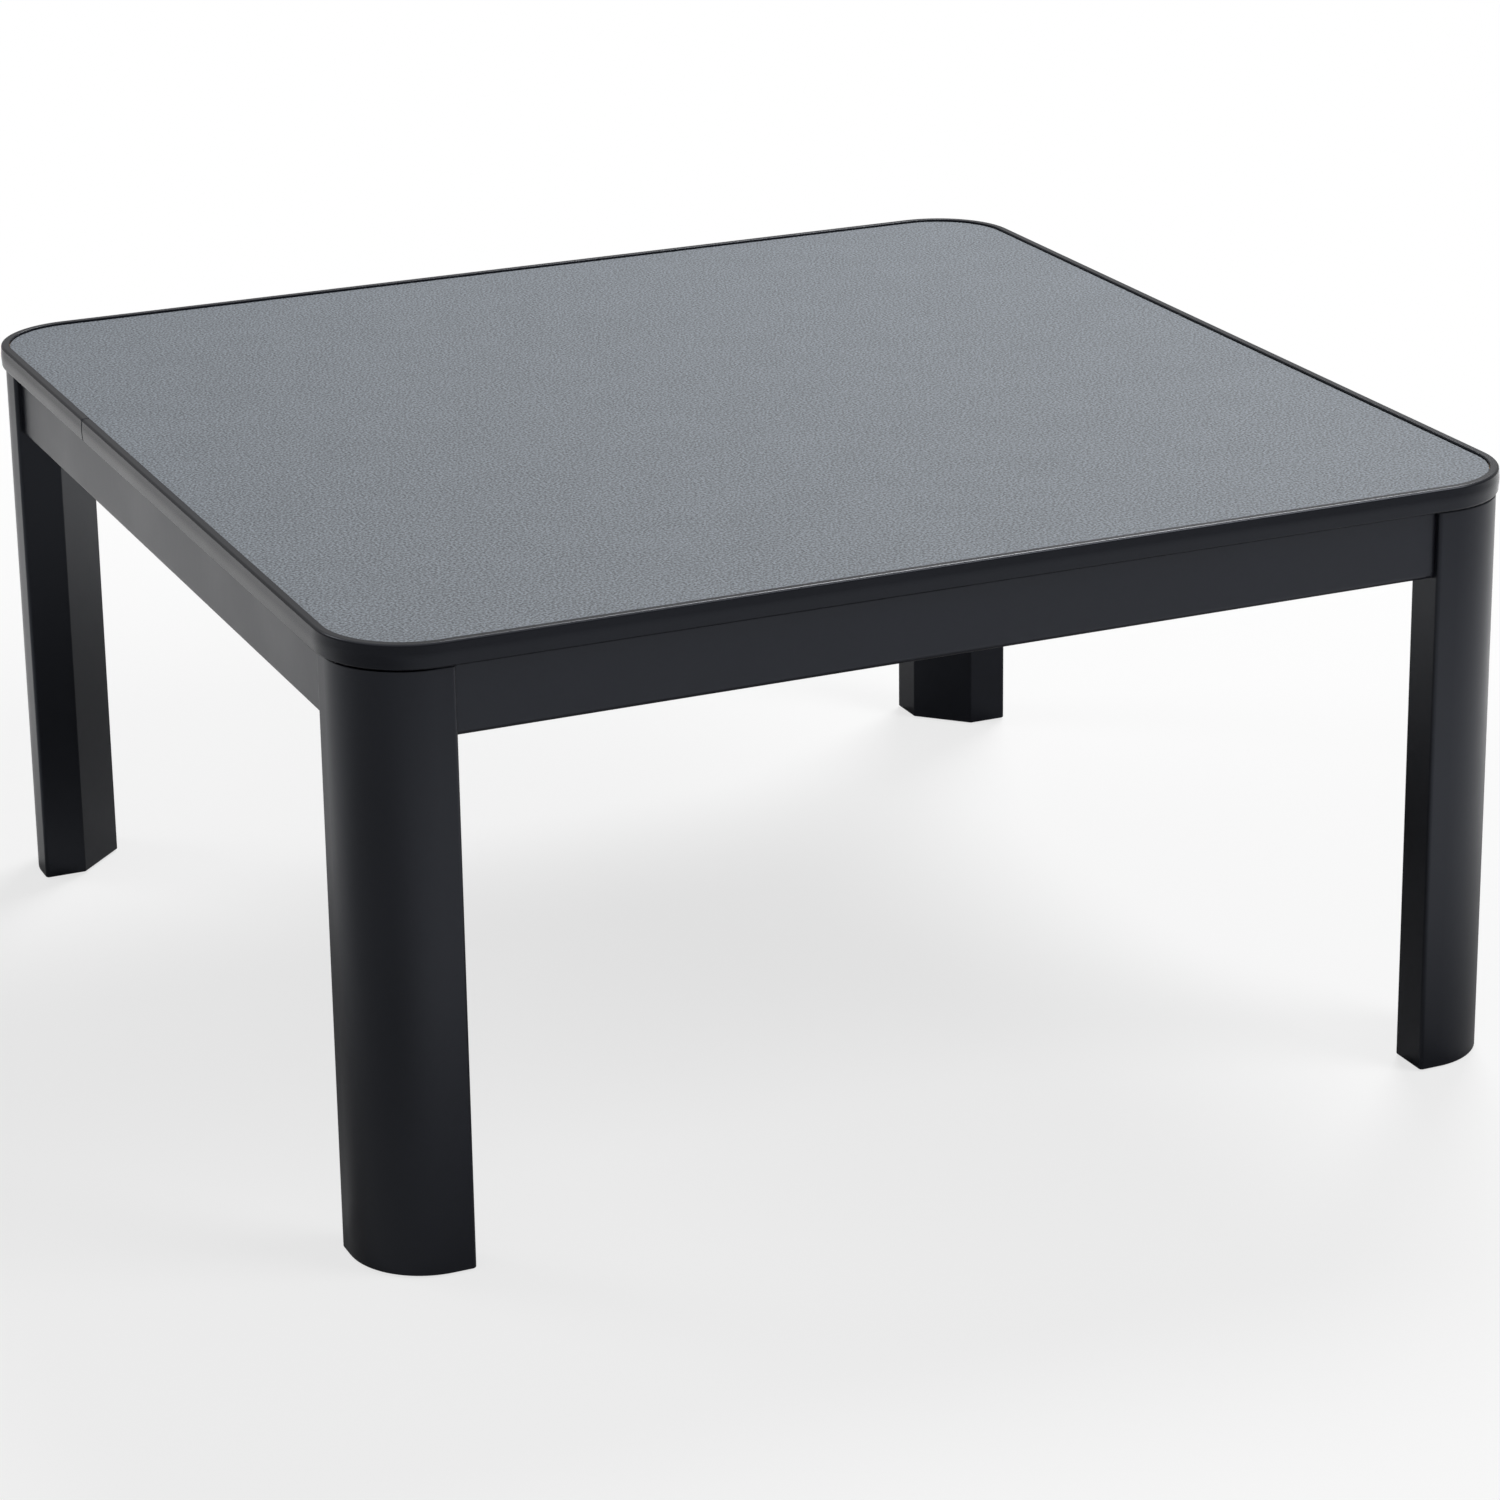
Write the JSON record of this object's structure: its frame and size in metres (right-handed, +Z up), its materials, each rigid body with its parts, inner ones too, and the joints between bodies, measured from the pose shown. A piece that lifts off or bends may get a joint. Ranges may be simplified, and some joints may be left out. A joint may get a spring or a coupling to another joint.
{
  "type": "kotatsu table",
  "caption": "Low square table with a lift-off laminate board on a black leg frame, and an electric heater with a punched guard hung under its middle.",
  "frame": {"origin": "on the floor, under the middle of the square board", "axes": "+Z up, -Y towards the front side, -X towards the left side, +Y towards the side with the heater's inlet"},
  "size_m": [0.75, 0.75, 0.378],
  "materials": {
    "core_board": "raw pressed board",
    "laminate": "fine pebbled melamine",
    "reverse_laminate": "fine pebbled melamine",
    "moulding": "satin black",
    "frame_lacquer": "satin black lacquer",
    "rail_wood": "dark stain",
    "dowel_wood": "plain",
    "zinc_steel": "zinc plated",
    "glide_plastic": "plain",
    "pad_rubber": "matt",
    "casing_steel": "coated sheet",
    "insulation": "glass fibre mat",
    "reflector_metal": "polished",
    "guard_paint": "satin black",
    "quartz": "clear",
    "resistance_wire": "oxidised",
    "ceramic": "unglazed",
    "terminal_metal": "bare",
    "spring_steel": "bare",
    "inlet_plastic": "moulded",
    "lead_sleeve": "braided glass sleeve",
    "fuse_sleeve": "smooth",
    "thermostat_plastic": "moulded"
  },
  "bodies": {
    "frame": {"leg_back_right": "frame_lacquer", "leg_back_left": "frame_lacquer", "leg_front_left": "frame_lacquer", "leg_front_right": "frame_lacquer", "apron_back": "frame_lacquer", "apron_left": "frame_lacquer", "apron_front": "frame_lacquer", "apron_right": "frame_lacquer", "corner_bracket_back_right": "zinc_steel", "corner_bracket_back_left": "zinc_steel", "corner_bracket_front_left": "zinc_steel", "corner_bracket_front_right": "zinc_steel", "long_rail_left": "rail_wood", "long_rail_right": "rail_wood", "cross_rail_front": "rail_wood", "cross_rail_back": "rail_wood", "rail_dowels": "dowel_wood", "foot_glides": "glide_plastic", "rest_pads": "pad_rubber", "bracket_screws": "zinc_steel", "hanger_bolts": "zinc_steel", "washers": "zinc_steel", "heater_casing": "casing_steel", "insulation_sheet": "insulation", "reflector": "reflector_metal", "heater_guard": "guard_paint", "heater_screws": "zinc_steel", "guard_screws": "zinc_steel", "quartz_tube": "quartz", "heating_winding": "resistance_wire", "tube_holders": "ceramic", "tube_terminals": "terminal_metal", "tube_clip": "spring_steel", "inlet_housing": "inlet_plastic", "inlet_pins": "terminal_metal", "inner_leads": "lead_sleeve", "thermal_fuse": "fuse_sleeve", "thermostat": "thermostat_plastic", "thermostat_bracket": "spring_steel"},
    "top_board": {"board_core": "core_board", "top_laminate": "laminate", "reverse_laminate": "reverse_laminate", "edge_moulding": "moulding"},
    "nut_back_right": {"wing_nut_back_right": "zinc_steel"},
    "nut_back_left": {"wing_nut_back_left": "zinc_steel"},
    "nut_front_left": {"wing_nut_front_left": "zinc_steel"},
    "nut_front_right": {"wing_nut_front_right": "zinc_steel"}
  },
  "joints": [
    {"name": "board_lift", "type": "slide", "parent": "frame", "child": "top_board", "axis": [0, 0, 1], "range_m": [0, 0.15]},
    {"name": "wing_nut_back_right_turn", "type": "hinge", "parent": "frame", "child": "nut_back_right", "pos_m": [0.32198, 0.32198, 0.34075], "axis": [-0.7071, -0.7071, 0], "continuous": true},
    {"name": "wing_nut_back_left_turn", "type": "hinge", "parent": "frame", "child": "nut_back_left", "pos_m": [-0.32198, 0.32198, 0.34075], "axis": [0.7071, -0.7071, 0], "continuous": true},
    {"name": "wing_nut_front_left_turn", "type": "hinge", "parent": "frame", "child": "nut_front_left", "pos_m": [-0.32198, -0.32198, 0.34075], "axis": [0.7071, 0.7071, 0], "continuous": true},
    {"name": "wing_nut_front_right_turn", "type": "hinge", "parent": "frame", "child": "nut_front_right", "pos_m": [0.32198, -0.32198, 0.34075], "axis": [-0.7071, 0.7071, 0], "continuous": true}
  ]
}
